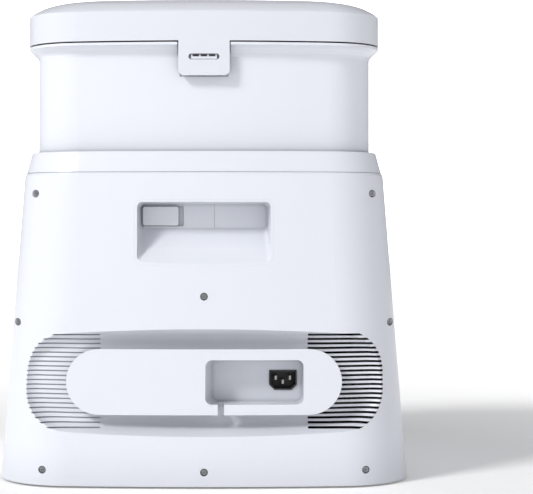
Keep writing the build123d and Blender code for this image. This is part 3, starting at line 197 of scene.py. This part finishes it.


# Each plastic has a base and a second colour, a roughness range, its grain's size and depth,
# a slow unevenness, and a clear coat. The whites also get painted shade within reach of other surfaces.
plasticLooks = {
    "casing_white": {
        "base": (0.79, 0.812, 0.875), "tint": (0.787, 0.81, 0.874), "rough": (0.325, 0.345),
        "grain": 1500, "grainDepth": 0.00003, "wave": 9, "waveDepth": 0.0002, "coat": 0.12,
        "reach": 0.045, "shade": 0.34, "seam": 0.4,
    },
    # painted shade: the lid's white is the casing's white made about a twentieth darker, so the lid reads
    # darker than the casing
    "lid_white": {
        "base": (0.752, 0.773, 0.833), "tint": (0.751, 0.772, 0.832), "rough": (0.283, 0.290),
        "grain": 1500, "grainDepth": 0.00002, "wave": 9, "waveDepth": 0.0001, "coat": 0.2,
        "reach": 0.012, "shade": 0.20, "seam": 0.3,
    },
    "inner_white": {
        "base": (0.60, 0.62, 0.67), "tint": (0.56, 0.58, 0.63), "rough": (0.45, 0.60),
        "grain": 1100, "grainDepth": 0.00005, "wave": 12, "waveDepth": 0.0003, "coat": 0.0,
    },
    "inlet_black": {
        "base": (0.018, 0.019, 0.022), "tint": (0.030, 0.031, 0.035), "rough": (0.38, 0.55),
        "grain": 1400, "grainDepth": 0.00006, "wave": 20, "waveDepth": 0.0001, "coat": 0.0,
    },
    "bay_grey": {
        "base": (0.040, 0.042, 0.047), "tint": (0.055, 0.057, 0.062), "rough": (0.45, 0.62),
        "grain": 900, "grainDepth": 0.00008, "wave": 10, "waveDepth": 0.0003, "coat": 0.0,
    },
    "frame_grey": {
        "base": (0.17, 0.175, 0.185), "tint": (0.14, 0.145, 0.155), "rough": (0.42, 0.60),
        "grain": 900, "grainDepth": 0.00006, "wave": 10, "waveDepth": 0.0003, "coat": 0.0,
    },
    "tray_grey": {
        "base": (0.085, 0.09, 0.10), "tint": (0.07, 0.075, 0.085), "rough": (0.35, 0.5),
        "grain": 1000, "grainDepth": 0.00005, "wave": 10, "waveDepth": 0.0003, "coat": 0.05,
    },
    "rib_blue": {
        "base": (0.055, 0.085, 0.13), "tint": (0.045, 0.07, 0.11), "rough": (0.35, 0.5),
        "grain": 1000, "grainDepth": 0.00004, "wave": 10, "waveDepth": 0.0002, "coat": 0.05,
    },
    "smoke_window": {
        "base": (0.008, 0.008, 0.011), "tint": (0.012, 0.010, 0.014), "rough": (0.06, 0.12),
        "grain": 500, "grainDepth": 0.000005, "wave": 20, "waveDepth": 0.0001, "coat": 0.6,
    },
    "button_grey": {
        "base": (0.34, 0.36, 0.39), "tint": (0.31, 0.33, 0.36), "rough": (0.38, 0.5),
        "grain": 1600, "grainDepth": 0.00003, "wave": 20, "waveDepth": 0.0001, "coat": 0.05,
    },
    "board_green": {
        "base": (0.012, 0.085, 0.045), "tint": (0.02, 0.12, 0.06), "rough": (0.28, 0.42),
        "grain": 700, "grainDepth": 0.00004, "wave": 60, "waveDepth": 0.0001, "coat": 0.2,
    },
}
plasticSetup = {
    "waveDetail": 2.0,
    "waveStrength": 0.12,
    "cloudsPerWave": 7,
    "cloudDetail": 4.0,
    "grainDetail": 3.0,
    "grainRoughness": 0.65,
    "grainStrength": 0.35,
    # reach of the painted shade in narrow gaps, seams and screw pockets
    "seamReach": 0.004,
    "ior": 1.5,
    "coatRoughness": 0.22,
}


def plastic(name, look):
    setup = plasticSetup
    material, tree, shader = newMaterial(name)
    place = tree.nodes.new("ShaderNodeTexCoord").outputs["Object"]
    wave = addNoise(tree, place, look["wave"], setup["waveDetail"])
    cloud = addNoise(tree, place, look["wave"] * setup["cloudsPerWave"], setup["cloudDetail"])
    grain = addNoise(tree, place, look["grain"], setup["grainDetail"], setup["grainRoughness"])
    color = addTint(tree, cloud, look["base"], look["tint"])
    # painted shade in hollows and in narrow gaps, for the whites
    if "shade" in look:
        color = addPaintedShade(tree, color, look["reach"], look["shade"])
        color = addPaintedShade(tree, color, setup["seamReach"], look["seam"])
    tree.links.new(color, shader.inputs["Base Color"])
    tree.links.new(addRange(tree, cloud, *look["rough"]), shader.inputs["Roughness"])
    slow = addBump(tree, wave, look["waveDepth"], setup["waveStrength"])
    fine = addBump(tree, grain, look["grainDepth"], setup["grainStrength"], slow)
    tree.links.new(fine, shader.inputs["Normal"])
    shader.inputs["IOR"].default_value = setup["ior"]
    shader.inputs["Coat Weight"].default_value = look["coat"]
    shader.inputs["Coat Roughness"].default_value = setup["coatRoughness"]
    return material


rubberLooks = {
    "seal_rubber": {"base": (0.022, 0.022, 0.025), "tint": (0.035, 0.035, 0.038), "rough": (0.55, 0.72)},
    "foot_rubber": {"base": (0.018, 0.018, 0.020), "tint": (0.030, 0.030, 0.032), "rough": (0.65, 0.85)},
    "wire_jacket": {"base": (0.015, 0.015, 0.018), "tint": (0.025, 0.025, 0.028), "rough": (0.35, 0.5)},
}
rubberSetup = {
    "dust": 90,
    "dustDetail": 6.0,
    "dustRoughness": 0.7,
    "pores": 1800,
    "poreDetail": 2.0,
    "poreDepth": 0.00006,
    "poreStrength": 0.5,
    "specular": 0.35,
}


def rubber(name, look):
    setup = rubberSetup
    material, tree, shader = newMaterial(name)
    place = tree.nodes.new("ShaderNodeTexCoord").outputs["Object"]
    dust = addNoise(tree, place, setup["dust"], setup["dustDetail"], setup["dustRoughness"])
    pores = addNoise(tree, place, setup["pores"], setup["poreDetail"])
    tree.links.new(addTint(tree, dust, look["base"], look["tint"]), shader.inputs["Base Color"])
    tree.links.new(addRange(tree, dust, *look["rough"]), shader.inputs["Roughness"])
    tree.links.new(addBump(tree, pores, setup["poreDepth"], setup["poreStrength"]), shader.inputs["Normal"])
    shader.inputs["Specular IOR Level"].default_value = setup["specular"]
    return material


metalLooks = {
    "screw_steel": {
        "base": (0.36, 0.37, 0.39), "tint": (0.46, 0.47, 0.49), "rough": (0.24, 0.42), "grain": 900,
        "reach": 0.004, "shade": 0.75,   # painted shade: the heads stand deep in their pockets
    },
    # painted shade: the pins' metal is made darker so they read dark in the inlet's cavity
    "pin_metal": {"base": (0.34, 0.34, 0.33), "tint": (0.40, 0.40, 0.39), "rough": (0.22, 0.36), "grain": 1200},
    "motor_steel": {"base": (0.42, 0.43, 0.44), "tint": (0.52, 0.53, 0.54), "rough": (0.25, 0.4), "grain": 500},
    "heater_metal": {"base": (0.62, 0.63, 0.64), "tint": (0.7, 0.7, 0.71), "rough": (0.3, 0.45), "grain": 700},
    "contact_metal": {
        "base": (0.70, 0.69, 0.66), "tint": (0.78, 0.77, 0.74), "rough": (0.12, 0.25), "grain": 1500,
    },
}
metalSetup = {
    "stretch": (1.0, 0.08, 1.0),   # the brushing runs from front to back
    "brushDetail": 3.0,
    "brushDepth": 0.00002,
    "brushStrength": 0.4,
    "stain": 160,
    "stainDetail": 3.0,
}


def metal(name, look):
    setup = metalSetup
    material, tree, shader = newMaterial(name)
    place = tree.nodes.new("ShaderNodeTexCoord").outputs["Object"]
    stretch = addNode(tree, "ShaderNodeMapping", Scale=setup["stretch"])
    tree.links.new(place, stretch.inputs["Vector"])
    brush = addNoise(tree, stretch.outputs["Vector"], look["grain"], setup["brushDetail"])
    stain = addNoise(tree, place, setup["stain"], setup["stainDetail"])
    color = addTint(tree, stain, look["base"], look["tint"])
    if "shade" in look:
        color = addPaintedShade(tree, color, look["reach"], look["shade"])
    tree.links.new(color, shader.inputs["Base Color"])
    tree.links.new(addRange(tree, stain, *look["rough"]), shader.inputs["Roughness"])
    tree.links.new(addBump(tree, brush, setup["brushDepth"], setup["brushStrength"]), shader.inputs["Normal"])
    shader.inputs["Metallic"].default_value = 1.0
    return material


clearLooks = {
    "tank_clear": {
        "base": (0.72, 0.79, 0.88), "tint": (0.68, 0.76, 0.86), "rough": (0.08, 0.16), "through": 0.75,
    },
    "waste_smoke": {
        "base": (0.17, 0.18, 0.20), "tint": (0.14, 0.15, 0.17), "rough": (0.10, 0.2), "through": 0.6,
    },
    "hose_clear": {
        "base": (0.62, 0.66, 0.68), "tint": (0.55, 0.60, 0.62), "rough": (0.25, 0.4), "through": 0.35,
    },
}
clearSetup = {
    "flow": 30,
    "flowDetail": 3.0,
    "flowDepth": 0.0006,
    "flowStrength": 0.1,
    "ior": 1.49,
}


def clear(name, look):
    setup = clearSetup
    material, tree, shader = newMaterial(name)
    place = tree.nodes.new("ShaderNodeTexCoord").outputs["Object"]
    flow = addNoise(tree, place, setup["flow"], setup["flowDetail"])
    tree.links.new(addTint(tree, flow, look["base"], look["tint"]), shader.inputs["Base Color"])
    tree.links.new(addRange(tree, flow, *look["rough"]), shader.inputs["Roughness"])
    tree.links.new(addBump(tree, flow, setup["flowDepth"], setup["flowStrength"]), shader.inputs["Normal"])
    shader.inputs["Transmission Weight"].default_value = look["through"]
    shader.inputs["IOR"].default_value = setup["ior"]
    return material


materials = {}
for make, looks in ((plastic, plasticLooks), (rubber, rubberLooks), (metal, metalLooks), (clear, clearLooks)):
    for name, look in looks.items():
        materials[name] = make(name, look)


smoothAngle = 32.0   # degrees; sharper edges stay hard


def dress(piece, slot):
    piece.data.materials.clear()
    piece.data.materials.append(materials[slot])
    for face in piece.data.polygons:
        face.use_smooth = True
    piece.data.set_sharp_from_angle(angle=math.radians(smoothAngle))


for entry in frame["record"]["subparts"]:
    dress(nodes[entry["node"]], entry["material_slot"])
print("materials ready:", len(materials))


studioSetup = {
    "reach": 14.0,             # metres to each side and towards the camera
    "far": -9.0,               # where the wall stands
    "wall": (-1.0, 8.0),       # its lower and upper edge
    "color": (0.93, 0.93, 0.93),
    "tint": 0.99,
    "cloud": 3.0,
    "cloudDetail": 2.0,
    "rough": 0.8,
    "glow": (0.20, 0.60),      # painted light: the floor glows, dimmer near the station (painted shade around it) and brighter away from it
    "spread": (0.35, 1.7),
    "wallGlow": 1.0,
}


def paper(name, setup):
    material, tree, shader = newMaterial(name)
    place = tree.nodes.new("ShaderNodeTexCoord").outputs["Object"]
    cloud = addNoise(tree, place, setup["cloud"], setup["cloudDetail"])
    tint = tuple(value * setup["tint"] for value in setup["color"])
    tree.links.new(addTint(tree, cloud, setup["color"], tint), shader.inputs["Base Color"])
    shader.inputs["Roughness"].default_value = setup["rough"]
    shader.inputs["Emission Color"].default_value = (1.0, 1.0, 1.0, 1.0)
    shader.inputs["Emission Strength"].default_value = setup["wallGlow"]
    return material, tree, place, shader


def addSheet(name, corners, material):
    mesh = bpy.data.meshes.new(name)
    mesh.from_pydata(corners, [], [(0, 1, 2, 3)])
    mesh.materials.append(material)
    sheet = bpy.data.objects.new(name, mesh)
    scene.collection.objects.link(sheet)
    return sheet


def makeFloor(setup):
    material, tree, place, shader = paper("floorPaper", setup)
    distance = tree.nodes.new("ShaderNodeVectorMath")   # painted light: the paper's glow rises away from the station, with painted shade near it
    distance.operation = "LENGTH"
    tree.links.new(place, distance.inputs[0])
    glow = addRange(tree, distance.outputs["Value"], *setup["glow"], *setup["spread"])
    tree.links.new(glow, shader.inputs["Emission Strength"])
    reach, far = setup["reach"], setup["far"]
    corners = [(-reach, far, 0), (reach, far, 0), (reach, reach, 0), (-reach, reach, 0)]
    addSheet("studioFloor", corners, material)


def makeWall(setup):
    material = paper("wallPaper", setup)[0]
    reach, far = setup["reach"], setup["far"]
    low, high = setup["wall"]
    corners = [(-reach, far, low), (reach, far, low), (reach, far, high), (-reach, far, high)]
    wall = addSheet("studioWall", corners, material)
    wall.visible_diffuse = False   # it is only seen, so the station's edges stay distinct
    wall.visible_glossy = False


makeFloor(studioSetup)
makeWall(studioSetup)
print("floor and wall ready")
